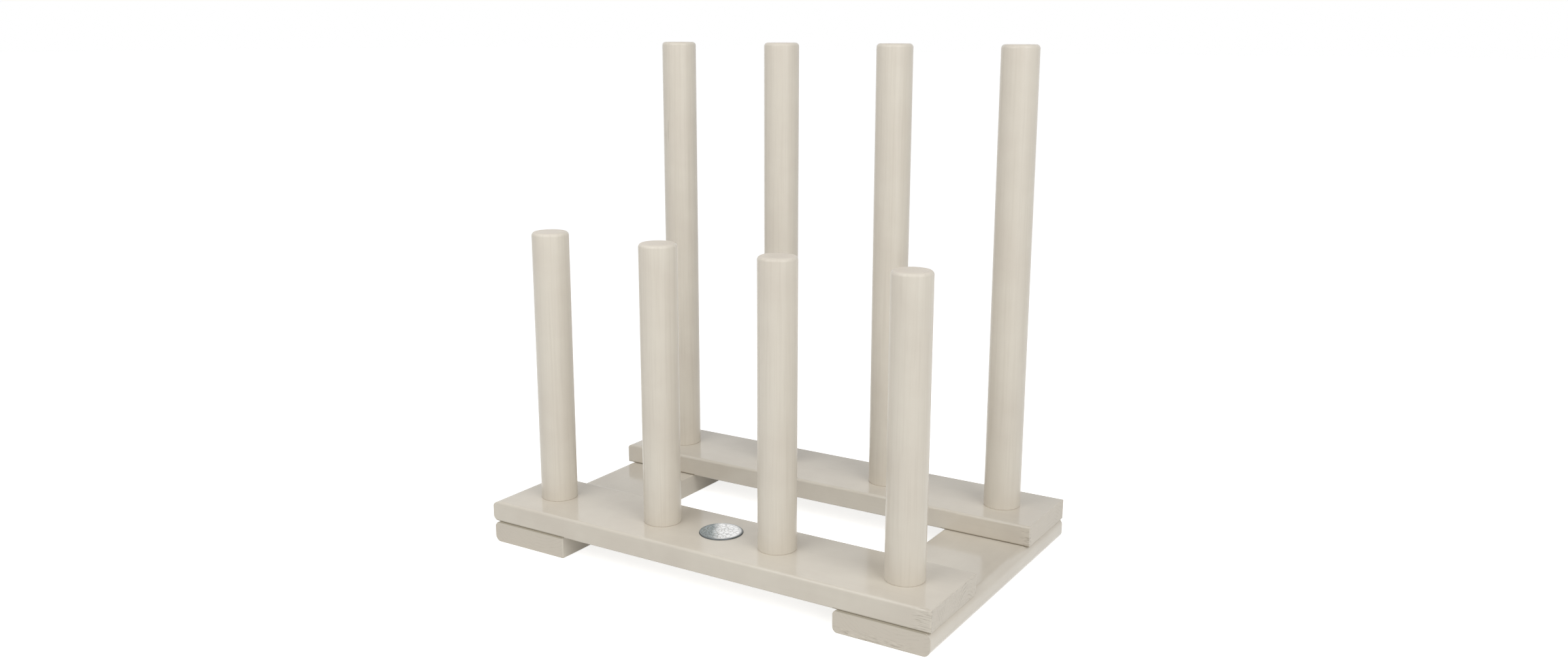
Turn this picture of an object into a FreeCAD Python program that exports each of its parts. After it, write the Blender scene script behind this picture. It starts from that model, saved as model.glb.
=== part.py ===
import FreeCAD, Part

import os

# A low boot rack of painted softwood. Two rails lie across two bearers, which are its feet.
# Each rail carries a row of round pegs: short ones in front, tall ones behind.
# A boot is pushed upside down over a peg. A cast metal disc is let into the front rail.
#
# Millimetres. X runs along the rails, with +X on the right seen from the front.
# Y runs from the front to the back, and Z up from the floor. The origin is on the floor,
# at the middle of the footprint.

# ---- driving dimensions ----
# boards
rack_length = 470.0             # along the rails
rack_depth = 300.0              # length of a bearer, front face to back face
rail_thickness = 20.0
rail_width = 89.0
bearer_thickness = 21.0
left_bearer_width = 86.0
right_bearer_width = 90.0
left_bearer_inset = 2.0         # how far its outer side stands inside the rail ends
right_bearer_inset = 0.0

# roundings of the boards' edges, each board sanded a little differently
rail_top_radius = 2.5           # long edges on top of a rail
rail_under_radius = 1.5         # long edges below it
front_left_end_radius = 7.5     # left end of the front rail, rounded over on top and below
rear_left_end_radius = 5.5      # left end of the rear rail, on top only
left_corner_radius = 1.2        # upright corners of both left ends
bearer_outer_radius = 7.5       # long edges on the outer side of a bearer, almost a half round
left_bearer_inner_radius = 1.0
right_bearer_inner_radius = 6.0
sawn_arris = 0.8                # edges round the sawn ends, eased with sandpaper

# pegs
pegs_in_a_row = 4
outer_peg_margin = 46.0         # axis of an outer peg in from its rail end, over a bearer
peg_diameter = 35.0
front_peg_height = 262.0        # above the rail
rear_peg_height = 435.0
front_peg_setback = 45.5        # peg axis behind the front side of its rail
rear_peg_setback = 43.5
peg_top_radius = 3.5            # rounding of the top edge
peg_foot_chamfer = 0.4          # fine groove where the peg meets the rail

# peg joint: a shouldered tenon in a blind socket, drawn down by a screw from below
tenon_diameter = 32.0
tenon_fit = 0.15                # radial clearance of the tenon in its socket
tenon_end_gap = 0.5             # room for glue under the tenon
tenon_lead = 1.0                # chamfer on the end of the tenon
socket_web = 6.0                # timber left under a socket

# inlaid disc
disc_diameter = 40.0
disc_thickness = 4.0
disc_recess_depth = 3.0
disc_setback = 50.0             # disc centre behind the front side of the front rail
disc_fit = 0.25                 # radial clearance in the recess
disc_edge_bevel = 0.6
disc_rim_width = 2.2            # plain raised rim
disc_dish_depth = 0.5           # how far the field lies below the rim

# countersunk screws
screw_diameter = 4.0
screw_head_diameter = 8.0
screw_head_rim = 0.35           # straight edge of the head above its cone
screw_point_length = 5.0
screw_sink = 0.5                # head below the face of the timber
screw_fit = 0.1                 # radial clearance of the shank
screw_edge_distance = 17.0      # joint screws in from the sides of both boards
joint_screw_length = 35.0
peg_screw_length = 45.0
pilot_extra = 2.0               # pilot hole past the tip of a screw
driver_slot_width = 1.1         # cross recess for the driver
driver_slot_span = 4.6
driver_slot_depth = 1.5
cut_margin = 1.0                # how far a cut starts outside the timber

# ---- places worked out from them ----
rail_bottom = bearer_thickness
rail_top = rail_bottom + rail_thickness
front_face = -rack_depth / 2
rear_face = rack_depth / 2
front_rail_middle = front_face + rail_width / 2
rear_rail_middle = rear_face - rail_width / 2
left_bearer_middle = -rack_length / 2 + left_bearer_inset + left_bearer_width / 2
right_bearer_middle = rack_length / 2 - right_bearer_inset - right_bearer_width / 2

peg_pitch = (rack_length - 2 * outer_peg_margin) / (pegs_in_a_row - 1)
front_peg_line = front_face + front_peg_setback
rear_peg_line = rear_face - rail_width + rear_peg_setback

disc_line = front_face + disc_setback
screw_head_depth = screw_head_rim + (screw_head_diameter - screw_diameter) / 2

RIGHT = FreeCAD.Vector(1, 0, 0)
UP = FreeCAD.Vector(0, 0, 1)
DIAGONAL = FreeCAD.Vector(1, 1, 1)
same_place = 1e-6               # closer than this, two sizes are one


def peg_positions():
    """X of every peg in a row, from left to right."""
    middle = (pegs_in_a_row - 1) / 2
    return [peg_pitch * (place - middle) for place in range(pegs_in_a_row)]


def turned(points, arcs=()):
    """Solid of revolution about Z from a closed outline of (radius, height) points.

    arcs names the corners that are rounded, as (index of the corner point, radius).
    """
    corners = [FreeCAD.Vector(radius, 0, height) for radius, height in points]
    outline = Part.makePolygon(corners + corners[:1])
    solid = Part.Face(outline).revolve(FreeCAD.Vector(), UP, 360)
    for corner, radius in arcs:
        solid = round_ring(solid, points[corner], radius)
    return solid


def round_ring(solid, point, radius):
    """Fillet the circular edge that passes through a point of the turned outline."""
    ring_radius, height = point
    middle = FreeCAD.Vector(0, 0, height)
    rings = []
    for edge in solid.Edges:
        if not isinstance(edge.Curve, Part.Circle):
            continue
        off_centre = edge.Curve.Center.distanceToPoint(middle)
        off_radius = abs(edge.Curve.Radius - ring_radius)
        if max(off_centre, off_radius) < same_place:
            rings.append(edge)
    return solid.makeFillet(radius, rings)


def rounded_bar(width, height, length, radii):
    """Bar along Z, centred on the origin, with a radius for each of its four long edges.

    radii goes round the section anticlockwise from the corner at -X and -Y.
    """
    bar = Part.makeBox(width, height, length)
    bar.translate(FreeCAD.Vector(-width / 2, -height / 2, -length / 2))
    for (across, up), radius in zip(((-1, -1), (1, -1), (1, 1), (-1, 1)), radii):
        middle = FreeCAD.Vector(across * width / 2, up * height / 2, 0)
        edges = [e for e in bar.Edges if e.CenterOfMass.distanceToPoint(middle) < same_place]
        bar = bar.makeFillet(radius, edges)
    return bar


def board(length, width, thickness, long_radii, end_radii, corner_radii):
    """Planed board centred on the origin, lying along X, with every edge rounded.

    long_radii: long edges, as front under, rear under, rear top, front top.
    end_radii: short level edges, as left under, right under, right top, left top.
    corner_radii: upright edges, as front left, front right, rear right, rear left.
    """
    lengthwise = rounded_bar(width, thickness, length, long_radii)
    lengthwise.rotate(FreeCAD.Vector(), DIAGONAL, 120)
    crosswise = rounded_bar(length, thickness, width, end_radii)
    crosswise.rotate(FreeCAD.Vector(), RIGHT, 90)
    plan = rounded_bar(length, width, thickness, corner_radii)
    return lengthwise.common(crosswise).common(plan)


def screw_hole(depth):
    """Countersunk hole that opens at Z = 0 and runs up, with a seat for the sunk head."""
    shank_radius = screw_diameter / 2
    head_radius = screw_head_diameter / 2
    hole_radius = shank_radius + screw_fit
    seat_bottom = screw_sink + screw_head_rim
    seat_top = seat_bottom + head_radius - hole_radius
    return turned([
        (0, -cut_margin),
        (head_radius, -cut_margin),
        (head_radius, seat_bottom),
        (hole_radius, seat_top),
        (hole_radius, depth),
        (0, depth),
    ])


def screw(length):
    """Countersunk wood screw pointing up, with the face of its head at Z = 0."""
    shank_radius = screw_diameter / 2
    head_radius = screw_head_diameter / 2
    body = turned([
        (0, 0),
        (head_radius, 0),
        (head_radius, screw_head_rim),
        (shank_radius, screw_head_depth),
        (shank_radius, length - screw_point_length),
        (0, length),
    ])
    slot = Part.makeBox(driver_slot_span, driver_slot_width, driver_slot_depth)
    slot.translate(FreeCAD.Vector(-driver_slot_span / 2, -driver_slot_width / 2, 0))
    across = slot.copy()
    across.rotate(FreeCAD.Vector(), UP, 90)
    return body.cut([slot, across])


def peg(height):
    """Round peg with its shoulder at Z = 0 and its tenon and pilot hole below."""
    radius = peg_diameter / 2
    tenon_radius = tenon_diameter / 2
    tenon_length = rail_thickness - socket_web - tenon_end_gap
    pilot_radius = screw_diameter / 2 + screw_fit
    pilot_top = peg_screw_length + screw_sink + pilot_extra - rail_thickness
    outline = [
        (pilot_radius, -tenon_length),
        (tenon_radius - tenon_lead, -tenon_length),
        (tenon_radius, -tenon_length + tenon_lead),
        (tenon_radius, 0),
        (radius - peg_foot_chamfer, 0),
        (radius, peg_foot_chamfer),
        (radius, height),
        (0, height),
        (0, pilot_top),
        (pilot_radius, pilot_top),
    ]
    top_corner = outline.index((radius, height))
    return turned(outline, [(top_corner, peg_top_radius)])


def rail(middle_line, peg_line, left_top_radius, left_under_radius):
    """Rail with a socket for every peg and the holes for the screws that hold it."""
    timber = board(
        rack_length,
        rail_width,
        rail_thickness,
        (rail_under_radius, rail_under_radius, rail_top_radius, rail_top_radius),
        (left_under_radius, sawn_arris, sawn_arris, left_top_radius),
        (left_corner_radius, sawn_arris, sawn_arris, left_corner_radius),
    )
    timber.translate(FreeCAD.Vector(0, middle_line, rail_bottom + rail_thickness / 2))
    socket_radius = tenon_diameter / 2 + tenon_fit
    socket_depth = rail_thickness - socket_web
    cuts = []
    for x in peg_positions():
        floor = FreeCAD.Vector(x, peg_line, rail_top - socket_depth)
        cuts.append(Part.makeCylinder(socket_radius, socket_depth + cut_margin, floor))
        cuts.append(placed(screw_hole(rail_thickness), x, peg_line, rail_bottom))
    pilot_radius = screw_diameter / 2 + screw_fit
    pilot_depth = joint_screw_length + screw_sink + pilot_extra - rail_bottom
    for side in ("left", "right"):
        for x, y in joint_screw_places(side, middle_line):
            mouth = FreeCAD.Vector(x, y, rail_bottom)
            cuts.append(Part.makeCylinder(pilot_radius, pilot_depth, mouth))
    return timber.cut(cuts)


def front_rail():
    """The front rail also takes the disc, in a flat-bottomed recess."""
    rounding = front_left_end_radius
    timber = rail(front_rail_middle, front_peg_line, rounding, rounding)
    floor = FreeCAD.Vector(0, disc_line, rail_top - disc_recess_depth)
    recess_radius = disc_diameter / 2 + disc_fit
    return timber.cut(Part.makeCylinder(recess_radius, disc_recess_depth + cut_margin, floor))


def rear_rail():
    """The rear rail is rounded over at its left end on top only."""
    return rail(rear_rail_middle, rear_peg_line, rear_left_end_radius, sawn_arris)


def bearer(side):
    """Bearer under one end of the rails, drilled from below. Its board is turned to lie along Y."""
    middle, width = bearer_place(side)
    inner = left_bearer_inner_radius if side == "left" else right_bearer_inner_radius
    outer = bearer_outer_radius
    turned_right, turned_left = (inner, outer) if side == "left" else (outer, inner)
    timber = board(
        rack_depth,
        width,
        bearer_thickness,
        (turned_right, turned_left, turned_left, turned_right),
        (sawn_arris,) * 4,
        (sawn_arris,) * 4,
    )
    timber.rotate(FreeCAD.Vector(), UP, 90)
    timber.translate(FreeCAD.Vector(middle, 0, bearer_thickness / 2))
    cuts = []
    for middle_line in (front_rail_middle, rear_rail_middle):
        for x, y in joint_screw_places(side, middle_line):
            cuts.append(placed(screw_hole(bearer_thickness + cut_margin), x, y, 0))
    return timber.cut(cuts)


def bearer_place(side):
    """X of a bearer's middle line, and its width."""
    if side == "left":
        return left_bearer_middle, left_bearer_width
    return right_bearer_middle, right_bearer_width


def joint_screw_places(side, middle_line):
    """The two screws of a crossing stand on its diagonal, either side of the peg."""
    middle, width = bearer_place(side)
    aside = width / 2 - screw_edge_distance
    astern = rail_width / 2 - screw_edge_distance
    sideways = -1 if side == "left" else 1
    outward = -1 if middle_line < 0 else 1
    outer = (middle + sideways * aside, middle_line + outward * astern)
    inner = (middle - sideways * aside, middle_line - outward * astern)
    return [outer, inner]


def disc():
    """Cast disc with a plain rim and a shallow dished field, underside at Z = 0."""
    radius = disc_diameter / 2
    field_radius = radius - disc_rim_width
    field_height = disc_thickness - disc_dish_depth
    return turned([
        (0, 0),
        (radius, 0),
        (radius, disc_thickness - disc_edge_bevel),
        (radius - disc_edge_bevel, disc_thickness),
        (field_radius, disc_thickness),
        (field_radius - disc_dish_depth, field_height),
        (0, field_height),
    ])


def placed(shape, x, y, z):
    """Copy of a shape moved from the origin to a point."""
    moved = shape.copy()
    moved.translate(FreeCAD.Vector(x, y, z))
    return moved


def peg_row(row, line, height):
    """Every peg of one row and the screw under it, named from left to right."""
    nodes = {}
    for number, x in enumerate(peg_positions(), start=1):
        nodes[f"{row}_peg_{number}"] = placed(peg(height), x, line, rail_top)
        head = rail_bottom + screw_sink
        nodes[f"{row}_peg_screw_{number}"] = placed(screw(peg_screw_length), x, line, head)
    return nodes


def joint_screws():
    """The pair of screws at each of the four crossings, one node for each pair."""
    nodes = {}
    for row, middle_line in (("front", front_rail_middle), ("rear", rear_rail_middle)):
        for side in ("left", "right"):
            places = joint_screw_places(side, middle_line)
            pair = [placed(screw(joint_screw_length), x, y, screw_sink) for x, y in places]
            nodes[f"{row}_{side}_joint_screws"] = Part.makeCompound(pair)
    return nodes


def rack():
    """Every node of the rack by name."""
    nodes = {
        "left_bearer": bearer("left"),
        "right_bearer": bearer("right"),
        "front_rail": front_rail(),
        "rear_rail": rear_rail(),
        "inlaid_disc": placed(disc(), 0, disc_line, rail_top - disc_recess_depth),
    }
    nodes.update(peg_row("front", front_peg_line, front_peg_height))
    nodes.update(peg_row("rear", rear_peg_line, rear_peg_height))
    nodes.update(joint_screws())
    return nodes


os.makedirs("parts", exist_ok=True)
for node, shape in rack().items():
    shape.exportStep(f"parts/{node}.step")
    print(f"{node}: {len(shape.Solids)} solid(s), {shape.Volume / 1000:.2f} cm3, valid {shape.isValid()}")
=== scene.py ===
"""Looks of a low boot rack: painted softwood boards and round pegs, a small metal disc and its screws.

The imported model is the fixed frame. Millimetres are used for every named size and turned to metres
where a mesh, a light or a pattern needs them. X runs along the rails, Y from front to back, Z up.
"""

import logging
import math
from dataclasses import dataclass, field, replace
from enum import Enum

import bpy
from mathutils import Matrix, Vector


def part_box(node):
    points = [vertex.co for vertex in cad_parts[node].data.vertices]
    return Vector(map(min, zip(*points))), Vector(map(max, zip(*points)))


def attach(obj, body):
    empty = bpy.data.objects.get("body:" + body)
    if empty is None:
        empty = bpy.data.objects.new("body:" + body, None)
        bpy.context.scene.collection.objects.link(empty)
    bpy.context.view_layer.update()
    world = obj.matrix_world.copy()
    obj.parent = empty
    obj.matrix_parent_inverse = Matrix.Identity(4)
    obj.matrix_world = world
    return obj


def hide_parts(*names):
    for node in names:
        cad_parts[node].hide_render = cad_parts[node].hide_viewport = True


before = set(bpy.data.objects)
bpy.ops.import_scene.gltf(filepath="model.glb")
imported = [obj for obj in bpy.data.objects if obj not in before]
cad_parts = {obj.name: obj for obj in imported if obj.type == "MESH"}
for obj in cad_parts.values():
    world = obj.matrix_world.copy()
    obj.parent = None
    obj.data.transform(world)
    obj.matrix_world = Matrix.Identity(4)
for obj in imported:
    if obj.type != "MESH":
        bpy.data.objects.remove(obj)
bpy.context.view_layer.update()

log = logging.getLogger("boot_rack")

MM = 0.001
SAME_PLACE_MM = 0.001
WHITE = (1.0, 1.0, 1.0, 1.0)
NOWHERE = (0.0, 0.0, 0.0)

MATH = "ShaderNodeMath"
VECTOR_MATH = "ShaderNodeVectorMath"
MAP_RANGE = "ShaderNodeMapRange"
NOISE = "ShaderNodeTexNoise"
POSITION = "GeometryNodeInputPosition"

Pair = tuple[float, float]
Triple = tuple[float, float, float]
Outline = list[Pair]
Tree = bpy.types.NodeTree
Socket = bpy.types.NodeSocket
Outputs = bpy.types.NodeOutputs


def linear(colour: str) -> tuple[float, float, float, float]:
    """Turn an sRGB hex colour into linear light, along the curve of the sRGB standard.

    Args:
        colour: Six hex digits after a hash sign.

    Returns:
        Red, green, blue and an alpha of one.
    """
    parts = [int(colour[i : i + 2], 16) / 255 for i in (1, 3, 5)]
    low = [c / 12.92 if c <= 0.04045 else ((c + 0.055) / 1.055) ** 2.4 for c in parts]
    return (*low, 1.0)


def add(tree: Tree, kind: str, inputs: dict | None = None, **settings) -> Outputs:
    """Add a node with its settings, values and links.

    Args:
        tree: Node tree that gets the node.
        kind: Blender's name for the node type.
        inputs: Socket name or number, with a value, an output socket that feeds it or a list of those.
        **settings: Properties of the node.

    Returns:
        The outputs of the new node.
    """
    node = tree.nodes.new(kind)
    for name, value in settings.items():
        setattr(node, name, value)
    for key, value in (inputs or {}).items():
        for source in value if isinstance(value, list) else [value]:
            if isinstance(source, Socket):
                tree.links.new(source, node.inputs[key])
            else:
                node.inputs[key].default_value = source
    return node.outputs


def empty_material(name: str) -> bpy.types.Material:
    """Make a material with no nodes in it yet.

    Args:
        name: Name of the material.

    Returns:
        The material.
    """
    material = bpy.data.materials.new(name)
    material.use_nodes = True
    material.node_tree.nodes.clear()
    return material


def lay_over(tree: Tree, under: str, coats: list[tuple[Socket, str]]) -> Socket:
    """Lay colours over one another.

    Args:
        tree: Tree of the material.
        under: Colour of the ground, in sRGB hex.
        coats: Share and colour of each coat, the lowest first.

    Returns:
        The colour that shows.
    """
    colour = linear(under)
    for share, over in coats:
        inputs = {"Factor": share, "A": colour, "B": linear(over)}
        colour = add(tree, "ShaderNodeMix", inputs, data_type="RGBA")[2]
    return colour


class Grain(Enum):
    """Direction that the fibres of a piece of timber run in, as the turn that brings them to X."""

    ALONG_X = (0.0, 0.0, 0.0)
    ALONG_Y = (0.0, 0.0, -math.pi / 2)
    ALONG_Z = (0.0, math.pi / 2, 0.0)


@dataclass(frozen=True)
class Ridged:
    """Box in which fibres are torn or paint has run, and the stretch of one ridge along each axis."""

    low_mm: Triple
    high_mm: Triple
    ridge_mm: Triple


@dataclass(frozen=True)
class Cut:
    """How one piece was cut from its tree.

    The heart is a point on the line of the tree's heart. Rawness says how rough the ends were left.
    The seam is the height of a joint line that gets a dark line of painted shade, with the distance
    from the rack's middle at which it begins.
    """

    grain: Grain
    heart_mm: Triple
    rawness: float = 0.15
    ridged: Ridged | None = None
    seam_mm: Pair | None = None


@dataclass(frozen=True)
class PaintedSoftwood:
    """Pine under two brushed coats of satin water-based paint.

    The coat fills the grain on the sides, so the eye finds a smooth, faintly clouded face that mirrors
    what stands on it. On the ends the paint has sunk in, and rings, saw marks and torn fibres show.
    Fibres and bristle marks are finer in truth, and are drawn as coarse as they must be to show.
    A span gives the two values of a pattern between which a colour or a place goes from none to full.
    """

    lit: str = "#DED7CA"
    deep: str = "#D8D0C3"
    end: str = "#D5CDC0"
    crack: str = "#958A7A"
    ridge: str = "#E6DFD2"
    # painted shade: colour of the dark line in the boards' joints, where shade falls
    joint_shade: str = "#A69D8A"
    brushed: str = "#C4BBAC"
    roughness: float = 0.13
    end_roughness: float = 0.42
    end_span: Pair = (0.75, 0.95)
    sheen: float = 0.35
    streak_detail: float = 3.0
    streak_roughness: float = 0.6
    cloud_mm: float = 60.0
    cloud_span: Pair = (0.35, 0.65)
    fibre_mm: float = 1.4
    fibre_length_mm: float = 70.0
    fibre_depth_mm: float = 0.006
    brush_mm: float = 2.2
    brush_length_mm: float = 90.0
    brush_span: Pair = (0.52, 0.34)
    brush_share: float = 0.05
    stipple_mm: float = 3.0
    stipple_depth_mm: float = 0.004
    ring_mm: float = 3.3
    ring_waver: float = 4.0
    ring_waver_scale: float = 1.1
    ring_depth_mm: float = 0.16
    ring_span: Pair = (0.72, 1.0)
    ring_share: float = 0.45
    saw_mm: float = 1.0
    saw_length_mm: float = 14.0
    saw_depth_mm: float = 0.4
    crack_patch_mm: float = 11.0
    crack_patch_span: Pair = (0.44, 0.58)
    ridge_depth_mm: float = 0.45
    ridge_span: Pair = (0.52, 0.62)
    torn_span: Pair = (0.47, 0.36)
    ridge_share: float = 0.42
    box_span: Pair = (1.0, 0.6)
    seam_reach_mm: float = 1.9
    seam_core_share: float = 1 / 3
    facing_span: Pair = (0.1, 0.4)

    def material(self, name: str, cut: Cut) -> bpy.types.Material:
        """Build the painted timber of one piece.

        Args:
            name: Name of the material.
            cut: How the piece was cut from its tree.

        Returns:
            The material.
        """
        material = empty_material(name)
        tree = material.node_tree
        place = add(tree, "ShaderNodeTexCoord")["Object"]
        heart = Vector(cut.heart_mm) * MM
        from_heart = add(tree, VECTOR_MATH, {0: place, 1: heart}, operation="SUBTRACT")[0]
        turned = {"Vector": from_heart, "Rotation": cut.grain.value}
        timber = add(tree, "ShaderNodeMapping", turned)["Vector"]
        end = self._end_grain(tree, cut.grain)
        side = add(tree, MATH, {0: 1.0, 1: end}, operation="SUBTRACT")[0]
        clouds = self._streaks(tree, timber, (self.cloud_mm,) * 3)
        fibres = self._streaks(tree, timber, (self.fibre_length_mm, self.fibre_mm, self.fibre_mm))
        stipple = self._streaks(tree, timber, (self.stipple_mm,) * 3)
        rings = self._rings(tree, timber)
        sawn = self._streaks(tree, timber, (self.saw_length_mm, self.saw_length_mm, self.saw_mm))
        layers = [
            (fibres, self.fibre_depth_mm, side),
            (stipple, self.stipple_depth_mm, side),
            (rings, self.ring_depth_mm * cut.rawness, end),
            (sawn, self.saw_depth_mm * cut.rawness, end),
        ]
        patched = self._streaks(tree, timber, (self.crack_patch_mm,) * 3)
        sunk = self._share(tree, patched, end, self.crack_patch_span)
        brushed = self._streaks(tree, timber, (self.brush_length_mm, self.brush_mm, self.brush_mm))
        coats = [
            (self._share(tree, clouds, 1.0, self.cloud_span), self.lit),
            (self._share(tree, brushed, side, self.brush_span, self.brush_share), self.brushed),
            (end, self.end),
            (self._share(tree, rings, sunk, self.ring_span, self.ring_share * cut.rawness), self.crack),
        ]
        if cut.ridged:
            there = self._inside(tree, place, cut.ridged)
            tufts = self._streaks(tree, place, cut.ridged.ridge_mm)
            layers.append((tufts, self.ridge_depth_mm, there))
            for span, colour in ((self.torn_span, self.crack), (self.ridge_span, self.ridge)):
                coats.append((self._share(tree, tufts, there, span, self.ridge_share), colour))
        # painted shade along the joint line, on the faces that look to the front
        if cut.seam_mm:
            coats.append((self._joint_shade_line(tree, place, cut.seam_mm), self.joint_shade))
        dulled = {"Value": end, "To Min": self.roughness, "To Max": self.end_roughness}
        inputs = {
            "Base Color": lay_over(tree, self.deep, coats),
            "Normal": self._relief(tree, layers),
            "Roughness": add(tree, MAP_RANGE, dulled)["Result"],
            "Specular IOR Level": self.sheen,
        }
        shader = add(tree, "ShaderNodeBsdfPrincipled", inputs)["BSDF"]
        add(tree, "ShaderNodeOutputMaterial", {"Surface": shader})
        return material

    def _end_grain(self, tree: Tree, grain: Grain) -> Socket:
        """Find the surfaces that are cut across the fibres.

        Args:
            tree: Tree of the material.
            grain: Direction of the fibres.

        Returns:
            One on an end, zero on a side.
        """
        normal = add(tree, "ShaderNodeNewGeometry")["Normal"]
        axis = {Grain.ALONG_X: (1, 0, 0), Grain.ALONG_Y: (0, 1, 0), Grain.ALONG_Z: (0, 0, 1)}[grain]
        along = add(tree, VECTOR_MATH, {0: normal, 1: axis}, operation="DOT_PRODUCT")
        size = add(tree, MATH, {0: along["Value"]}, operation="ABSOLUTE")[0]
        return self._share(tree, size, 1.0, self.end_span)

    def _streaks(self, tree: Tree, place: Socket, stretch_mm: Triple) -> Socket:
        """Draw uneven ridges, longer along one axis than along another.

        Args:
            tree: Tree of the material.
            place: Place in the piece.
            stretch_mm: Size of a ridge along each axis.

        Returns:
            Height from zero to one.
        """
        stretched = {"Vector": place, "Scale": tuple(1 / (size * MM) for size in stretch_mm)}
        pattern = {
            "Vector": add(tree, "ShaderNodeMapping", stretched)["Vector"],
            "Scale": 1.0,
            "Detail": self.streak_detail,
            "Roughness": self.streak_roughness,
        }
        return add(tree, NOISE, pattern)["Fac"]

    def _rings(self, tree: Tree, timber: Socket) -> Socket:
        """Draw the growth rings as ridges that rise slowly and fall at the late wood.

        Args:
            tree: Tree of the material.
            timber: Place in the timber, with X along the fibres.

        Returns:
            Height from zero to one.
        """
        wave_turn = 20  # radians that the wave texture turns through in each unit of its scale
        pattern = {
            "Vector": timber,
            "Scale": math.tau / (wave_turn * self.ring_mm * MM),
            "Distortion": self.ring_waver,
            "Detail": self.streak_detail,
            "Detail Scale": self.ring_waver_scale,
            "Detail Roughness": self.streak_roughness,
        }
        shape = {"wave_type": "RINGS", "rings_direction": "X", "wave_profile": "SAW"}
        return add(tree, "ShaderNodeTexWave", pattern, **shape)["Fac"]

    def _share(
        self, tree: Tree, height: Socket, where: Socket | float, span: Pair, most: float = 1.0
    ) -> Socket:
        """Turn a stretch of a pattern or a measure into a share.

        Args:
            tree: Tree of the material.
            height: Value of the pattern or the measure.
            where: One where it counts.
            span: Values at which the share begins and at which it is full.
            most: Largest share.

        Returns:
            The share.
        """
        stretch = {"Value": height, "From Min": span[0], "From Max": span[1], "To Max": most}
        line = add(tree, MAP_RANGE, stretch)["Result"]
        return add(tree, MATH, {0: line, 1: where}, operation="MULTIPLY")[0]

    def _inside(self, tree: Tree, place: Socket, ridged: Ridged) -> Socket:
        """Find the box in which the surface is ridged.

        Args:
            tree: Tree of the material.
            place: Place on the rack.
            ridged: The box.

        Returns:
            One well inside the box, falling to zero at its sides.
        """
        low, high = Vector(ridged.low_mm) * MM, Vector(ridged.high_mm) * MM
        share = place
        for value, step in (((low + high) / 2, "SUBTRACT"), ((high - low) / 2, "DIVIDE")):
            share = add(tree, VECTOR_MATH, {0: share, 1: value}, operation=step)[0]
        size = add(tree, VECTOR_MATH, {0: share}, operation="ABSOLUTE")[0]
        apart = add(tree, "ShaderNodeSeparateXYZ", {0: size})
        far = add(tree, MATH, {0: apart["X"], 1: apart["Y"]}, operation="MAXIMUM")[0]
        farthest = add(tree, MATH, {0: far, 1: apart["Z"]}, operation="MAXIMUM")[0]
        return self._share(tree, farthest, 1.0, self.box_span)

    def _joint_shade_line(self, tree: Tree, place: Socket, seam_mm: Pair) -> Socket:
        """Find the joint line, which gets a dark line of painted shade.

        Args:
            tree: Tree of the material.
            place: Place on the rack.
            seam_mm: Height of the line, and the distance from the rack's middle at which it begins.

        Returns:
            One at the line, on the faces that look to the front.
        """
        apart = add(tree, "ShaderNodeSeparateXYZ", {0: place})
        height, start = seam_mm[0] * MM, seam_mm[1] * MM
        above = add(tree, MATH, {0: apart["Z"], 1: height}, operation="SUBTRACT")[0]
        distance = add(tree, MATH, {0: above}, operation="ABSOLUTE")[0]
        sideways = add(tree, MATH, {0: apart["X"]}, operation="ABSOLUTE")[0]
        over = add(tree, MATH, {0: sideways, 1: start}, operation="GREATER_THAN")[0]
        reach = self.seam_reach_mm * MM
        line = self._share(tree, distance, over, (reach, reach * self.seam_core_share))
        normal = add(tree, "ShaderNodeNewGeometry")["Normal"]
        forward = add(tree, VECTOR_MATH, {0: normal, 1: (0, -1, 0)}, operation="DOT_PRODUCT")
        return self._share(tree, forward["Value"], line, self.facing_span)

    def _relief(self, tree: Tree, layers: list[tuple[Socket, float, Socket]]) -> Socket:
        """Lay reliefs over one another.

        Args:
            tree: Tree of the material.
            layers: Height, depth in millimetres and place of each relief.

        Returns:
            The bumped normal.
        """
        below = {}
        for height, depth_mm, where in layers:
            inputs = {"Height": height, "Distance": depth_mm * MM, "Strength": where, **below}
            below = {"Normal": add(tree, "ShaderNodeBump", inputs)["Normal"]}
        return below["Normal"]


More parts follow.
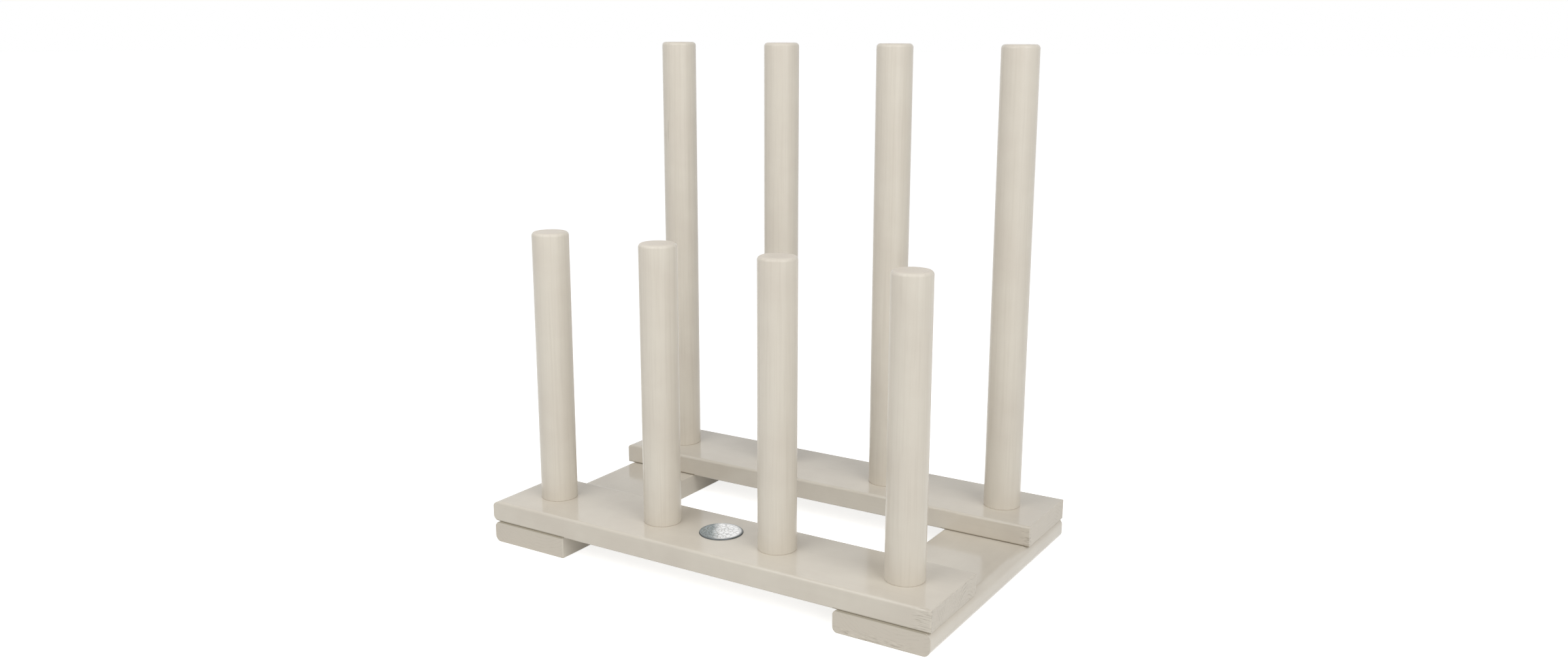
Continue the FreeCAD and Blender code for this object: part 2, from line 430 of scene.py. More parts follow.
@dataclass(frozen=True)
class CastPewter:
    """Cast pewter, polished on its high places and left dark in its grooves.

    The eye reads it by a bright mirroring field broken up by thin dark lines. One side is darkened by
    a cool painted reflection with a patchy edge, standing in for a dark thing that the metal mirrors.
    """

    colour: str = "#F4F4F3"
    # painted reflection: the cool dark colour laid over one side of the disc
    painted_reflection: str = "#939C9D"
    # patina in the grooves, and painted shade along the rim, both take this colour
    groove: str = "#6A6F71"
    roughness: float = 0.24
    groove_roughness: float = 0.5
    painted_reflection_way: Triple = (0.85, 0.53, 0.0)
    painted_reflection_span_mm: Pair = (-4.0, -11.7)
    patch_mm: float = 4.5
    patch_reach_mm: float = -6.5
    patch_detail: float = 4.0
    patch_roughness: float = 0.6

    def material(self, name: str, groove_name: str, middle_mm: Vector) -> bpy.types.Material:
        """Build the pewter.

        Args:
            name: Name of the material.
            groove_name: Attribute of the mesh that holds how deep in a groove a point lies.
            middle_mm: Middle of the casting.

        Returns:
            The material.
        """
        material = empty_material(name)
        tree = material.node_tree
        place = add(tree, "ShaderNodeTexCoord")["Object"]
        middle = Vector(middle_mm) * MM
        aside = add(tree, VECTOR_MATH, {0: place, 1: middle}, operation="SUBTRACT")[0]
        way = {0: aside, 1: self.painted_reflection_way}
        sideways = add(tree, VECTOR_MATH, way, operation="DOT_PRODUCT")["Value"]
        pattern = {
            "Vector": place,
            "Scale": 1 / (self.patch_mm * MM),
            "Detail": self.patch_detail,
            "Roughness": self.patch_roughness,
        }
        patches = add(tree, NOISE, pattern)["Fac"]
        reach = {0: patches, 1: self.patch_reach_mm * MM, 2: sideways}
        # painted reflection: grows towards one side of the disc, with a patchy edge
        reflection_edge = add(tree, MATH, reach, operation="MULTIPLY_ADD")[0]
        first, last = (edge * MM for edge in self.painted_reflection_span_mm)
        spread = {"Value": reflection_edge, "From Min": first, "From Max": last}
        reflection_share = add(tree, MAP_RANGE, spread)["Result"]
        stored = {"attribute_name": groove_name, "attribute_type": "GEOMETRY"}
        depth = add(tree, "ShaderNodeAttribute", **stored)["Fac"]
        dulled = {"Value": depth, "To Min": self.roughness, "To Max": self.groove_roughness}
        inputs = {
            "Base Color": lay_over(tree, self.colour, [(reflection_share, self.painted_reflection), (depth, self.groove)]),
            "Roughness": add(tree, MAP_RANGE, dulled)["Result"],
            "Metallic": 1.0,
        }
        shader = add(tree, "ShaderNodeBsdfPrincipled", inputs)["BSDF"]
        add(tree, "ShaderNodeOutputMaterial", {"Surface": shader})
        return material


@dataclass(frozen=True)
class ZincPlatedSteel:
    """Steel screws with clear passivated zinc plating.

    The eye reads it by a cool grey metal with a faint straw tint that comes and goes over the head.
    """

    colour: str = "#C3C4C2"
    tint: str = "#C9C3AE"
    roughness: float = 0.33
    tint_mm: float = 3.0
    tint_detail: float = 2.0

    def material(self, name: str) -> bpy.types.Material:
        """Build the plating.

        Args:
            name: Name of the material.

        Returns:
            The material.
        """
        material = empty_material(name)
        tree = material.node_tree
        place = add(tree, "ShaderNodeTexCoord")["Object"]
        pattern = {"Vector": place, "Scale": 1 / (self.tint_mm * MM), "Detail": self.tint_detail}
        film = add(tree, NOISE, pattern)["Fac"]
        colour = lay_over(tree, self.colour, [(film, self.tint)])
        inputs = {"Base Color": colour, "Roughness": self.roughness, "Metallic": 1.0}
        shader = add(tree, "ShaderNodeBsdfPrincipled", inputs)["BSDF"]
        add(tree, "ShaderNodeOutputMaterial", {"Surface": shader})
        return material


class TreeInput(Enum):
    """Kinds of value that a Geometry Nodes tree takes from its modifier."""

    GEOMETRY = "NodeSocketGeometry"
    NUMBER = "NodeSocketFloat"
    COUNT = "NodeSocketInt"
    PLACE = "NodeSocketVector"
    FINISH = "NodeSocketMaterial"


@dataclass
class Turning:
    """Shape turned about the Z axis from an outline, the way a lathe makes it.

    The object's own mesh holds the outline as (radius, 0, height) points that start and end on the
    axis. Its tree spreads them round the axis, and a subclass goes on from there. An edge that bends
    by more than the sharp angle, in radians, stays crisp. The word for how a piece was made ends its
    name. The slot names a material slot, and nothing reads it.
    """

    tree_name: str
    made: str
    slot: str
    facets: int = 96
    sharp: float = 0.6
    tree: Tree | None = None
    given: Outputs | None = None

    def declare(self, extra: dict[str, tuple[TreeInput, object]]) -> None:
        """Start the tree and name its inputs.

        Args:
            extra: Inputs beyond the shared ones, each with its kind and first value.
        """
        self.tree = bpy.data.node_groups.new(self.tree_name, "GeometryNodeTree")
        sockets = self.tree.interface
        for way in ("INPUT", "OUTPUT"):
            sockets.new_socket("Geometry", in_out=way, socket_type=TreeInput.GEOMETRY.value)
        shared = {
            "Facets": (TreeInput.COUNT, self.facets),
            "Points": (TreeInput.COUNT, 2),
            "Place": (TreeInput.PLACE, NOWHERE),
            "Seed": (TreeInput.COUNT, 0),
            "Finish": (TreeInput.FINISH, None),
        }
        for name, (kind, value) in {**shared, **extra}.items():
            socket = sockets.new_socket(name, in_out="INPUT", socket_type=kind.value)
            if value is not None:
                socket.default_value = value
        self.given = add(self.tree, "NodeGroupInput")

    def turned(self) -> Socket:
        """Spread the outline round the axis and close its seam and poles.

        Returns:
            The turned surface.
        """
        tree, given = self.tree, self.given
        columns = add(tree, MATH, {0: given["Facets"], 1: 1.0}, operation="ADD")[0]
        counts = {"Vertices X": columns, "Vertices Y": given["Points"]}
        sheet = add(tree, "GeometryNodeMeshGrid", counts)["Mesh"]
        index = add(tree, "GeometryNodeInputIndex")[0]
        row = add(tree, MATH, {0: index, 1: given["Points"]}, operation="MODULO")[0]
        ahead = add(tree, MATH, {0: index, 1: given["Points"]}, operation="DIVIDE")[0]
        column = add(tree, MATH, {0: ahead}, operation="FLOOR")[0]
        part = add(tree, MATH, {0: column, 1: given["Facets"]}, operation="DIVIDE")[0]
        angle = add(tree, MATH, {0: part, 1: math.tau}, operation="MULTIPLY")[0]
        here = add(tree, POSITION)[0]
        wanted = {"Geometry": given["Geometry"], "Value": here, "Index": row}
        kind = {"data_type": "FLOAT_VECTOR", "domain": "POINT"}
        point = add(tree, "GeometryNodeSampleIndex", wanted, **kind)[0]
        swing = {"Vector": point, "Angle": angle}
        round_axis = add(tree, "ShaderNodeVectorRotate", swing, rotation_type="Z_AXIS")[0]
        spread = add(tree, "GeometryNodeSetPosition", {"Geometry": sheet, "Position": round_axis})[0]
        doubled = {"Geometry": spread, "Distance": SAME_PLACE_MM * MM}
        return add(tree, "GeometryNodeMergeByDistance", doubled)[0]

    def finish_tree(self, shape: Socket) -> None:
        """Place the shape, shade it and give it its material.

        Args:
            shape: Geometry to finish.
        """
        tree, given = self.tree, self.given
        moved = {"Geometry": shape, "Translation": given["Place"]}
        placed = add(tree, "GeometryNodeTransform", moved)[0]
        real = add(tree, "GeometryNodeRealizeInstances", {"Geometry": placed})[0]
        smooth = add(tree, "GeometryNodeSetShadeSmooth", {"Geometry": real}, domain="FACE")[0]
        bend = add(tree, "GeometryNodeInputMeshEdgeAngle")["Unsigned Angle"]
        soft = add(tree, "FunctionNodeCompare", {0: bend, 1: self.sharp}, operation="LESS_THAN")[0]
        edges = {"Geometry": smooth, "Shade Smooth": soft}
        shaded = add(tree, "GeometryNodeSetShadeSmooth", edges, domain="EDGE")[0]
        finish = {"Geometry": shaded, "Material": given["Finish"]}
        add(tree, "NodeGroupOutput", {0: add(tree, "GeometryNodeSetMaterial", finish)[0]})

    def make(self, node: str, outline: Outline, values: dict[str, object]) -> None:
        """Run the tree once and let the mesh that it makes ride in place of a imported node.

        Args:
            node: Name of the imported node.
            outline: Points of (radius, height) in millimetres, from axis to axis.
            values: Values for the tree's named inputs.
        """
        name = f"{node}_{self.made}"
        mesh = bpy.data.meshes.new(f"{name}_outline")
        points = [(radius * MM, 0.0, height * MM) for radius, height in outline]
        mesh.from_pydata(points, [(i, i + 1) for i in range(len(points) - 1)], [])
        piece = bpy.data.objects.new(name, mesh)
        bpy.context.scene.collection.objects.link(piece)
        modifier = piece.modifiers.new(self.tree_name, "NODES")
        modifier.node_group = self.tree
        sockets = [item for item in self.tree.interface.items_tree if item.in_out == "INPUT"]
        identifiers = {socket.name: socket.identifier for socket in sockets}
        for key, value in {"Points": len(points), **values}.items():
            modifier[identifiers[key]] = value
        graph = bpy.context.evaluated_depsgraph_get()
        result = bpy.data.meshes.new_from_object(piece.evaluated_get(graph))
        piece.modifiers.remove(modifier)
        while None in list(result.materials):
            result.materials.pop(index=list(result.materials).index(None))
        piece.data = result
        result.name = name
        bpy.data.meshes.remove(mesh)
        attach(piece, "root")
        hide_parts(node)
        log.info("%s has %d faces", name, len(result.polygons))


def arc(centre: Pair, radius: float, start: float, end: float, steps: int) -> Outline:
    """Points on part of a circle.

    Args:
        centre: Middle of the circle as (radius, height), in millimetres.
        radius: Radius of the circle in millimetres.
        start: First angle in degrees, measured from the outward direction.
        end: Last angle in degrees.
        steps: Number of chords.

    Returns:
        The points, both ends included.
    """
    angles = [math.radians(start + (end - start) * i / steps) for i in range(steps + 1)]
    return [(centre[0] + radius * math.cos(a), centre[1] + radius * math.sin(a)) for a in angles]


@dataclass
class PegTurning(Turning):
    """Round peg with its tenon and pilot hole, lightly uneven from sanding and from the brush."""

    tree_name: str = "turned_peg"
    made: str = "turned"
    slot: str = "painted_softwood"
    facets: int = 112
    tenon_radius_mm: float = 16.0
    tenon_length_mm: float = 13.5
    tenon_lead_mm: float = 1.0
    pilot_radius_mm: float = 2.1
    pilot_top_mm: float = 27.5
    foot_chamfer_mm: float = 0.4
    wall_steps: int = 12
    top_radius_mm: float = 3.5
    top_steps: int = 9
    crown_share: float = 0.4
    hollow_mm: float = 0.12
    hollow_length_mm: float = 55.0

    def build(self) -> None:
        """Make the tree: the turned surface, drawn in a little by a slow noise."""
        self.declare({"Hollow": (TreeInput.NUMBER, self.hollow_mm * MM)})
        tree, given = self.tree, self.given
        surface = self.turned()
        here = add(tree, POSITION)[0]
        scale = 1 / (self.hollow_length_mm * MM)
        pattern = {"Vector": here, "W": given["Seed"], "Scale": scale, "Detail": 1.0}
        noise = add(tree, NOISE, pattern, noise_dimensions="4D")["Fac"]
        depth = add(tree, MATH, {0: noise, 1: given["Hollow"]}, operation="MULTIPLY")[0]
        flat = {0: here, 1: (1.0, 1.0, 0.0)}
        outward = add(tree, VECTOR_MATH, flat, operation="MULTIPLY")[0]
        unit = add(tree, VECTOR_MATH, {0: outward}, operation="NORMALIZE")[0]
        back = add(tree, MATH, {0: 0.0, 1: depth}, operation="SUBTRACT")[0]
        offset = add(tree, VECTOR_MATH, {0: unit, "Scale": back}, operation="SCALE")[0]
        height = add(tree, "ShaderNodeSeparateXYZ", {0: here})["Z"]
        clear = {0: height, 1: self.foot_chamfer_mm * MM / 2}
        free = add(tree, "FunctionNodeCompare", clear, operation="GREATER_THAN")[0]
        moved = {"Geometry": surface, "Selection": free, "Offset": offset}
        self.finish_tree(add(tree, "GeometryNodeSetPosition", moved)[0])

    def outline(self, radius_mm: float, height_mm: float) -> Outline:
        """Outline of a peg whose shoulder sits at height zero.

        Args:
            radius_mm: Radius of the peg.
            height_mm: Height above the rail.

        Returns:
            Points from the pilot hole's end, round the tenon, up the side and over the top.
        """
        top = height_mm - self.top_radius_mm
        foot, steps = self.foot_chamfer_mm, self.wall_steps
        return [
            (0.0, self.pilot_top_mm),
            (self.pilot_radius_mm, self.pilot_top_mm),
            (self.pilot_radius_mm, -self.tenon_length_mm),
            (self.tenon_radius_mm - self.tenon_lead_mm, -self.tenon_length_mm),
            (self.tenon_radius_mm, self.tenon_lead_mm - self.tenon_length_mm),
            (self.tenon_radius_mm, 0.0),
            (radius_mm - foot, 0.0),
            *[(radius_mm, foot + (top - foot) * i / steps) for i in range(steps)],
            *arc((radius_mm - self.top_radius_mm, top), self.top_radius_mm, 0, 90, self.top_steps),
            (radius_mm * self.crown_share, height_mm),
            (0.0, height_mm),
        ]


@dataclass(kw_only=True)
class DiscTurning(Turning):
    """Cast disc with a narrow rim, rougher and in painted shade, round low pebbles with grooves between
    them.
    """

    radius_mm: float
    thickness_mm: float
    tree_name: str = "pebbled_disc"
    made: str = "cast"
    slot: str = "cast_pewter"
    facets: int = 320
    sharp: float = 0.9
    rim_width_mm: float = 1.2
    bevel_mm: float = 0.5
    bevel_steps: int = 5
    field_drop_mm: float = 0.2
    fade_mm: float = 1.0
    dull_shaded_rim_mm: float = 1.3
    dull_shaded_rim_shift_mm: Triple = (-0.8, 0.3, 0.0)
    line_share: float = 0.5
    pebble_mm: float = 4.2
    pebble_height_mm: float = 0.07
    groove_share: float = 0.09
    groove_depth_mm: float = 0.1
    waver_mm: float = 3.2
    waver_detail: float = 2.0
    field_step_mm: float = 0.3
    groove_name: str = "groove"

    def build(self) -> None:
        """Make the tree: the turned disc with grooves cut into its field."""
        self.declare({"Groove Depth": (TreeInput.NUMBER, self.groove_depth_mm * MM)})
        tree, given = self.tree, self.given
        surface = self.turned()
        here = add(tree, POSITION)[0]
        apart = add(tree, "ShaderNodeSeparateXYZ", {0: here})
        flat = add(tree, "ShaderNodeCombineXYZ", {"X": apart["X"], "Y": apart["Y"]})[0]
        edge = self._pebble_edges(flat)
        inner = self.radius_mm - self.rim_width_mm
        inside = self._ring(flat, inner, inner - self.fade_mm)
        # painted shade: a dark band where the field meets the rim, off centre so that it is widest at the
        # front right; it also makes the metal rougher there
        shift = {0: flat, 1: Vector(self.dull_shaded_rim_shift_mm) * MM}
        shifted = add(tree, VECTOR_MATH, shift, operation="SUBTRACT")[0]
        dull_shaded_rim = self._ring(shifted, inner - self.dull_shaded_rim_mm, inner + self.dull_shaded_rim_mm)
        halfway = {0: apart["Z"], 1: self.thickness_mm / 2 * MM}
        high = add(tree, "FunctionNodeCompare", halfway, operation="GREATER_THAN")[0]
        narrow = {"Value": edge, "From Max": self.groove_share, "To Min": 1.0, "To Max": 0.0}
        groove = add(tree, MAP_RANGE, narrow)["Result"]
        rounded = {"Value": edge, "From Max": 0.5, "To Max": self.pebble_height_mm * MM}
        crown = add(tree, MAP_RANGE, rounded)["Result"]
        cut = add(tree, MATH, {0: groove, 1: given["Groove Depth"]}, operation="MULTIPLY")[0]
        lift = add(tree, MATH, {0: crown, 1: cut}, operation="SUBTRACT")[0]
        faded = add(tree, MATH, {0: lift, 1: inside}, operation="MULTIPLY")[0]
        offset = add(tree, "ShaderNodeCombineXYZ", {"Z": faded})[0]
        moved = {"Geometry": surface, "Selection": high, "Offset": offset}
        shaped = add(tree, "GeometryNodeSetPosition", moved)[0]
        # the attribute holds the grooves' patina and the painted shade at the rim
        lines = add(tree, MATH, {0: groove, 1: self.line_share}, operation="MULTIPLY")[0]
        grooves_and_rim_shade = add(tree, MATH, {0: lines, 1: dull_shaded_rim}, operation="MAXIMUM")[0]
        stored = {"Geometry": shaped, "Selection": high, "Name": self.groove_name, "Value": grooves_and_rim_shade}
        self.finish_tree(add(tree, "GeometryNodeStoreNamedAttribute", stored)[0])

    def _ring(self, flat: Socket, first_mm: float, last_mm: float) -> Socket:
        """Measure how far out a point lies.

        Args:
            flat: Place beside the middle, without its height.
            first_mm: Radius that counts as zero.
            last_mm: Radius that counts as one.

        Returns:
            Share of the way from the first radius to the last.
        """
        outward = add(self.tree, VECTOR_MATH, {0: flat}, operation="LENGTH")["Value"]
        inputs = {"Value": outward, "From Min": first_mm * MM, "From Max": last_mm * MM}
        return add(self.tree, MAP_RANGE, inputs)["Result"]

    def _pebble_edges(self, flat: Socket) -> Socket:
        """Scatter irregular pebbles.

        Args:
            flat: Place on the disc, without its height.

        Returns:
            Distance to the nearest edge between two pebbles, as a share of a pebble.
        """
        tree, given = self.tree, self.given
        scale = 1 / (self.pebble_mm * MM)
        pattern = {"Vector": flat, "Scale": scale, "Detail": self.waver_detail}
        waver = add(tree, NOISE, pattern)["Color"]
        level = {0: waver, 1: (0.5, 0.5, 0.5)}
        middle = add(tree, VECTOR_MATH, level, operation="SUBTRACT")[0]
        reach = {0: middle, "Scale": self.waver_mm * MM}
        push = add(tree, VECTOR_MATH, reach, operation="SCALE")[0]
        pushed = add(tree, VECTOR_MATH, {0: flat, 1: push}, operation="ADD")[0]
        cells = {"Vector": pushed, "W": given["Seed"], "Scale": scale}
        kind = {"voronoi_dimensions": "4D", "feature": "DISTANCE_TO_EDGE"}
        return add(tree, "ShaderNodeTexVoronoi", cells, **kind)["Distance"]

    def outline(self) -> Outline:
        """Outline of the disc with its underside at height zero.

        Returns:
            Points from the middle of the underside to the middle of the field.
        """
        radius, top, bevel = self.radius_mm, self.thickness_mm, self.bevel_mm
        inner = radius - self.rim_width_mm
        field_height = top - self.field_drop_mm
        steps = round(inner / self.field_step_mm)
        return [
            (0.0, 0.0),
            (radius, 0.0),
            *arc((radius - bevel, top - bevel), bevel, 0, 90, self.bevel_steps),
            (inner + self.field_drop_mm, top),
            (inner, field_height),
            *[(inner * (1 - i / steps), field_height) for i in range(1, steps + 1)],
        ]


@dataclass(kw_only=True)
class ScrewTurning(Turning):
    """Countersunk wood screw with a rolled thread and a cross recess, as many as stand in a row."""

    length_mm: float
    tree_name: str = "wood_screw"
    made: str = "threaded"
    slot: str = "zinc_plated_steel"
    facets: int = 40
    head_radius_mm: float = 4.0
    head_rim_mm: float = 0.35
    head_edge_mm: float = 0.1
    shank_radius_mm: float = 1.45
    crest_radius_mm: float = 1.98
    crest_sides: int = 4
    pitch_mm: float = 1.8
    point_mm: float = 5.0
    tip_share: float = 0.05
    bare_share: float = 0.3
    bare_point_share: float = 0.35
    recess_depth_mm: float = 1.5
    recess_span_mm: float = 4.6
    recess_width_mm: float = 1.1
    steps_per_turn: int = 20

    def build(self) -> None:
        """Make the tree: turned body, recess cut out, thread wound on, copies in a row."""
        self.declare({"Count": (TreeInput.COUNT, 1), "Step": (TreeInput.PLACE, NOWHERE)})
        tree, given = self.tree, self.given
        body = self.turned()
        size = Vector((self.recess_span_mm, self.recess_width_mm, 2 * self.recess_depth_mm)) * MM
        wing = add(tree, "GeometryNodeMeshCube", {"Size": size})["Mesh"]
        quarter = {"Geometry": wing, "Rotation": (0.0, 0.0, math.pi / 2)}
        across = add(tree, "GeometryNodeTransform", quarter)[0]
        bars = {"Mesh 2": [wing, across]}
        cross = add(tree, "GeometryNodeMeshBoolean", bars, operation="UNION", solver="EXACT")["Mesh"]
        pair = {"Mesh 1": body, "Mesh 2": cross}
        cut = add(tree, "GeometryNodeMeshBoolean", pair, operation="DIFFERENCE", solver="EXACT")["Mesh"]
        parts = {"Geometry": [cut, self._thread()]}
        whole = add(tree, "GeometryNodeJoinGeometry", parts)[0]
        line = {"Count": given["Count"], "Offset": given["Step"]}
        row = add(tree, "GeometryNodeMeshLine", line)["Mesh"]
        drawn = {"Seed": given["Seed"], "Max": (0.0, 0.0, math.tau)}
        turn = add(tree, "FunctionNodeRandomValue", drawn, data_type="FLOAT_VECTOR")[0]
        copied = {"Points": row, "Instance": whole, "Rotation": turn}
        self.finish_tree(add(tree, "GeometryNodeInstanceOnPoints", copied)[0])

    def _thread(self) -> Socket:
        """Wind the thread from under the head to the point.

        Returns:
            The thread as a closed ridge.
        """
        tree = self.tree
        start = self.length_mm * self.bare_share
        end = self.length_mm - self.point_mm * self.bare_point_share
        middle = (self.shank_radius_mm + self.crest_radius_mm) / 2
        spiral = {
            "Resolution": self.steps_per_turn,
            "Rotations": (end - start) / self.pitch_mm,
            "Start Radius": middle * MM,
            "End Radius": middle * MM,
            "Height": (end - start) * MM,
        }
        coil = add(tree, "GeometryNodeCurveSpiral", spiral)["Curve"]
        moved = {"Geometry": coil, "Translation": (0.0, 0.0, start * MM)}
        raised = add(tree, "GeometryNodeTransform", moved)[0]
        here = add(tree, POSITION)[0]
        point = {
            "Value": add(tree, "ShaderNodeSeparateXYZ", {0: here})["Z"],
            "From Min": (self.length_mm - self.point_mm) * MM,
            "From Max": self.length_mm * MM,
            "To Min": 1.0,
            "To Max": self.tip_share,
        }
        taper = add(tree, MAP_RANGE, point)["Result"]
        squeeze = add(tree, "ShaderNodeCombineXYZ", {"X": taper, "Y": taper, "Z": 1.0})[0]
        drawn_in = add(tree, VECTOR_MATH, {0: here, 1: squeeze}, operation="MULTIPLY")[0]
        narrowed = {"Geometry": raised, "Position": drawn_in}
        pointed = add(tree, "GeometryNodeSetPosition", narrowed)[0]
        crest = (self.crest_radius_mm - self.shank_radius_mm) / 2 * MM
        section = {"Resolution": self.crest_sides, "Radius": crest}
        ridge = add(tree, "GeometryNodeCurvePrimitiveCircle", section, mode="RADIUS")["Curve"]
        swept = {"Curve": pointed, "Profile Curve": ridge, "Fill Caps": True}
        return add(tree, "GeometryNodeCurveToMesh", swept)[0]

    def outline(self) -> Outline:
        """Outline of the screw pointing up, with the face of its head at height zero.

        Returns:
            Points from the middle of the head to the tip.
        """
        cone = self.head_rim_mm + self.head_radius_mm - self.shank_radius_mm
        return [
            (0.0, 0.0),
            (self.head_radius_mm - self.head_edge_mm, 0.0),
            (self.head_radius_mm, self.head_edge_mm),
            (self.head_radius_mm, self.head_rim_mm),
            (self.shank_radius_mm, cone),
            (self.shank_radius_mm, self.length_mm - self.point_mm),
            (0.0, self.length_mm),
        ]


@dataclass
class Boards:
    """The two rails and the two bearers, which stay as imported and get their paint."""

    paint: PaintedSoftwood
    seam_mm: Pair = (21.0, 145.0)
    cuts: dict[str, Cut] = field(
        default_factory=lambda: {
            "front_rail": Cut(
                Grain.ALONG_X,
                (0.0, -80.0, 14.0),
                1.4,
                Ridged((217.0, -156.0, 18.0), (249.0, -146.0, 44.0), (12.0, 3.0, 1.1)),
            ),
            "rear_rail": Cut(
                Grain.ALONG_X,
                (0.0, 118.0, -4.0),
                0.4,
                Ridged((224.0, 55.0, 16.0), (250.0, 66.0, 40.0), (8.0, 3.0, 1.2)),
            ),
            "left_bearer": Cut(Grain.ALONG_Y, (-176.0, 0.0, 58.0), 0.25),
            "right_bearer": Cut(
                Grain.ALONG_Y,
                (206.0, 0.0, 66.0),
                0.25,
                Ridged((142.0, -156.0, -8.0), (222.0, -140.0, 8.0), (9.0, 3.0, 1.1)),
            ),
        }
    )

    def dress(self) -> None:
        """Paint every board, each cut from its own place in the tree, with painted shade along its joint.
        """
        for name, cut in self.cuts.items():
            material = self.paint.material(f"painted_pine_{name}", replace(cut, seam_mm=self.seam_mm))
            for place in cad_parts[name].material_slots:
                place.material = material
            log.info("%s painted", name)


@dataclass
class Pegs:
    """Both rows of round pegs, each turned from its own place in the tree."""

    paint: PaintedSoftwood
    turning: PegTurning = field(default_factory=PegTurning)
    rows: tuple[str, ...] = ("front", "rear")
    pegs_in_a_row: int = 4
    heart_aside_mm: float = 9.0
    heart_turn: float = 2.4
    rawness: float = 0.35
    runs: dict[str, Ridged] = field(
        default_factory=lambda: {
            "rear_peg_1": Ridged((-198.0, 84.0, 366.0), (-190.0, 96.0, 398.0), (1.3, 3.0, 30.0))
        }
    )

    def build(self) -> None:
        """Turn every peg and set it over the node that it replaces."""
        self.turning.build()
        names = [f"{row}_peg_{number + 1}" for row in self.rows for number in range(self.pegs_in_a_row)]
        for seed, node in enumerate(names, start=1):
            self._peg(node, seed)

    def _peg(self, node: str, seed: int) -> None:
        """Make one peg.

        Args:
            node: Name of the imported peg.
            seed: Number that makes its surface its own.
        """
        low, high = (Vector(corner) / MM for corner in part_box(node))
        middle = (low + high) / 2
        radius = (high.x - low.x) / 2
        shoulder = low.z + self.turning.tenon_length_mm
        aside, turn = self.heart_aside_mm, seed * self.heart_turn
        heart = (middle.x + aside * math.cos(turn), middle.y + aside * math.sin(turn), 0.0)
        cut = Cut(Grain.ALONG_Z, heart, self.rawness, self.runs.get(node))
        values = {
            "Place": Vector((middle.x, middle.y, shoulder)) * MM,
            "Seed": seed,
            "Finish": self.paint.material(f"painted_pine_{node}", cut),
        }
        self.turning.make(node, self.turning.outline(radius, high.z - shoulder), values)


@dataclass
class Inlay:
    """The metal disc let into the front rail."""

    pewter: CastPewter
    node: str = "inlaid_disc"
    seed: int = 7

    def build(self) -> None:
        """Cast the disc over the node that it replaces."""
        low, high = (Vector(corner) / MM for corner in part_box(self.node))
        middle = (low + high) / 2
        disc = DiscTurning(radius_mm=(high.x - low.x) / 2, thickness_mm=high.z - low.z)
        disc.build()
        values = {
            "Place": Vector((middle.x, middle.y, low.z)) * MM,
            "Seed": self.seed,
            "Finish": self.pewter.material("cast_pewter_pebbled", disc.groove_name, middle),
        }
        disc.make(self.node, disc.outline(), values)


@dataclass
class Screws:
    """Every countersunk screw: one under each peg and two at each crossing of the boards.

    The two screws of a crossing stand on a diagonal, which falls to the right at two crossings.
    """

    zinc: ZincPlatedSteel
    falling: tuple[str, ...] = ("front_right", "rear_left")

    def build(self) -> None:
        """Make the screws of every node that holds some."""
        finish = self.zinc.material("zinc_plated_screws")
        trees: dict[float, ScrewTurning] = {}
        names = [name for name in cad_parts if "screw" in name]
        for seed, name in enumerate(names):
            low, high = (Vector(corner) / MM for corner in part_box(name))
            length = round(high.z - low.z, 2)
            if length not in trees:
                trees[length] = ScrewTurning(tree_name=f"wood_screw_{length:.0f}", length_mm=length)
                trees[length].build()
            turning = trees[length]
            first, step = self._row(name, low, high, turning.head_radius_mm)
            values = {
                "Place": first * MM,
                "Step": step * MM,
                "Count": 2 if step.length else 1,
                "Seed": seed,
                "Finish": finish,
            }
            turning.make(name, turning.outline(), values)

    def _row(self, name: str, low: Vector, high: Vector, reach: float) -> tuple[Vector, Vector]:
        """Find where the screws of a node stand.

        Args:
            name: Name of the node.
            low: Lowest corner of its box in millimetres.
            high: Highest corner of its box.
            reach: Radius of a screw head.

        Returns:
            Place of the first screw's head, and the step to the second, which is zero for one screw.
        """
        first = Vector((low.x + reach, low.y + reach, low.z))
        last = Vector((high.x - reach, high.y - reach, low.z))
        if name.startswith(self.falling):
            first.y, last.y = last.y, first.y
        return first, last - first if "joint" in name else Vector(NOWHERE)


@dataclass
class Lamp:
    """Square soft lamp that looks at the rack."""

    name: str
    azimuth: float
    elevation: float
    power: float
    distance_mm: float = 2300.0
    side_mm: float = 1200.0
    target_mm: Triple = (0.0, 0.0, 100.0)

    def hang(self) -> None:
        """Place the lamp, azimuth zero being straight in front and ninety to the right."""
        turn, lift = math.radians(self.azimuth), math.radians(self.elevation)
        away = Vector((math.sin(turn) * math.cos(lift), -math.cos(turn) * math.cos(lift), math.sin(lift)))
        data = bpy.data.lights.new(self.name, "AREA")
        data.shape = "SQUARE"
        data.size = self.side_mm * MM
        data.energy = self.power
        lamp = bpy.data.objects.new(self.name, data)
        lamp.location = away * self.distance_mm * MM
        way = Vector(self.target_mm) * MM - lamp.location
        lamp.rotation_euler = way.to_track_quat("-Z", "Y").to_euler()
        bpy.context.scene.collection.objects.link(lamp)


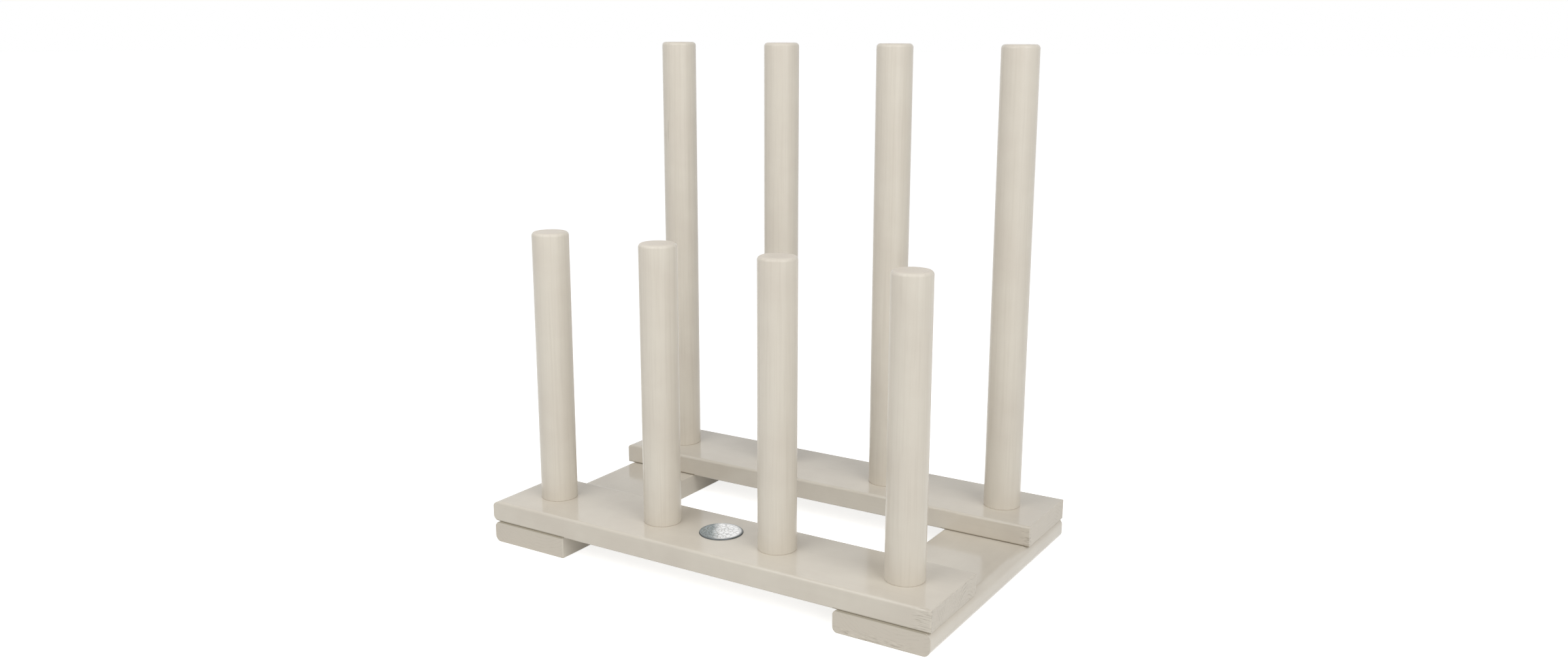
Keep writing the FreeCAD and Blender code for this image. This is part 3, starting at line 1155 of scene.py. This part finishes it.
@dataclass
class Studio:
    """White floor, plain soft light and the camera, whose turn about X, Y and Z is in degrees."""

    camera_place_mm: Triple = (636.09, -1022.95, 485.65)
    camera_turn: Triple = (77.196, -0.150, 31.702)
    focal_mm: float = 29.934
    sensor_mm: float = 36.0
    floor_side_mm: float = 60000.0
    floor_colour: str = "#E6E6E4"
    floor_glow: float = 0.75
    world_light: float = 0.35
    lamps: tuple[Lamp, ...] = (
        Lamp("right_high", 70.0, 45.0, 13.0),
        Lamp("right_low", 60.0, 15.0, 7.0),
        Lamp("left_high", -75.0, 45.0, 2.6),
        Lamp("front_near", -15.0, 50.0, 4.7, distance_mm=1300.0, side_mm=800.0),
    )

    def build(self) -> None:
        """Make the camera, the floor, the world and the lamps."""
        self._camera()
        self._floor()
        self._world()
        for lamp in self.lamps:
            lamp.hang()

    def _camera(self) -> None:
        """Place the camera and make it the scene's own."""
        data = bpy.data.cameras.new("camera")
        data.sensor_width = self.sensor_mm
        data.lens = self.focal_mm
        camera = bpy.data.objects.new("camera", data)
        camera.location = Vector(self.camera_place_mm) * MM
        camera.rotation_euler = [math.radians(turn) for turn in self.camera_turn]
        bpy.context.scene.collection.objects.link(camera)
        bpy.context.scene.camera = camera

    def _floor(self) -> None:
        """Lay the floor, which looks white but keeps the rack's shadow and is clear from below."""
        half = self.floor_side_mm * MM / 2
        mesh = bpy.data.meshes.new("floor")
        corners = [(-half, -half, 0), (half, -half, 0), (half, half, 0), (-half, half, 0)]
        mesh.from_pydata(corners, [], [(0, 1, 2, 3)])
        floor = bpy.data.objects.new("floor", mesh)
        bpy.context.scene.collection.objects.link(floor)
        material = empty_material("white_paper")
        tree = material.node_tree
        paper = add(tree, "ShaderNodeBsdfDiffuse", {"Color": linear(self.floor_colour)})[0]
        glow = add(tree, "ShaderNodeEmission", {"Color": WHITE, "Strength": self.floor_glow})[0]
        bright = add(tree, "ShaderNodeAddShader", {0: paper, 1: glow})[0]
        rays = add(tree, "ShaderNodeLightPath")
        looks = {0: rays["Is Camera Ray"], 1: rays["Is Glossy Ray"]}
        seen = add(tree, MATH, looks, operation="MAXIMUM")[0]
        mixed = add(tree, "ShaderNodeMixShader", {0: seen, 1: paper, 2: bright})[0]
        clear = add(tree, "ShaderNodeBsdfTransparent")[0]
        below = add(tree, "ShaderNodeNewGeometry")["Backfacing"]
        sided = add(tree, "ShaderNodeMixShader", {0: below, 1: mixed, 2: clear})[0]
        add(tree, "ShaderNodeOutputMaterial", {"Surface": sided})
        mesh.materials.append(material)

    def _world(self) -> None:
        """Surround the rack with an even light that looks white."""
        world = bpy.data.worlds.new("studio")
        bpy.context.scene.world = world
        world.use_nodes = True
        tree = world.node_tree
        tree.nodes.clear()
        rays = add(tree, "ShaderNodeLightPath")
        seen = rays["Is Camera Ray"]
        for other in ("Is Glossy Ray", "Is Transmission Ray"):
            seen = add(tree, MATH, {0: seen, 1: rays[other]}, operation="MAXIMUM")[0]
        level = {"Value": seen, "To Min": self.world_light, "To Max": 1.0}
        strength = add(tree, MAP_RANGE, level)["Result"]
        even = add(tree, "ShaderNodeBackground", {"Color": WHITE, "Strength": strength})[0]
        add(tree, "ShaderNodeOutputWorld", {"Surface": even})


def main() -> None:
    """Build the rack's looks in order."""
    logging.basicConfig(level=logging.INFO, format="%(name)s: %(message)s")
    bpy.context.scene.view_settings.view_transform = "Standard"
    Studio().build()
    Boards(PaintedSoftwood()).dress()
    # The pegs take a lighter copy of the boards' paint as painted light, standing in for the brighter
    # light they get; the end colour that shows on their tops is lifted most. It is also rougher.
    duller_brighter_paint = PaintedSoftwood(
        lit="#E2DBCE", deep="#DDD5C8", end="#DDD4C7", roughness=0.28, sheen=0.3, brush_share=0.15
    )
    Pegs(duller_brighter_paint).build()
    Inlay(CastPewter()).build()
    Screws(ZincPlatedSteel()).build()


if __name__ == "__main__":
    main()
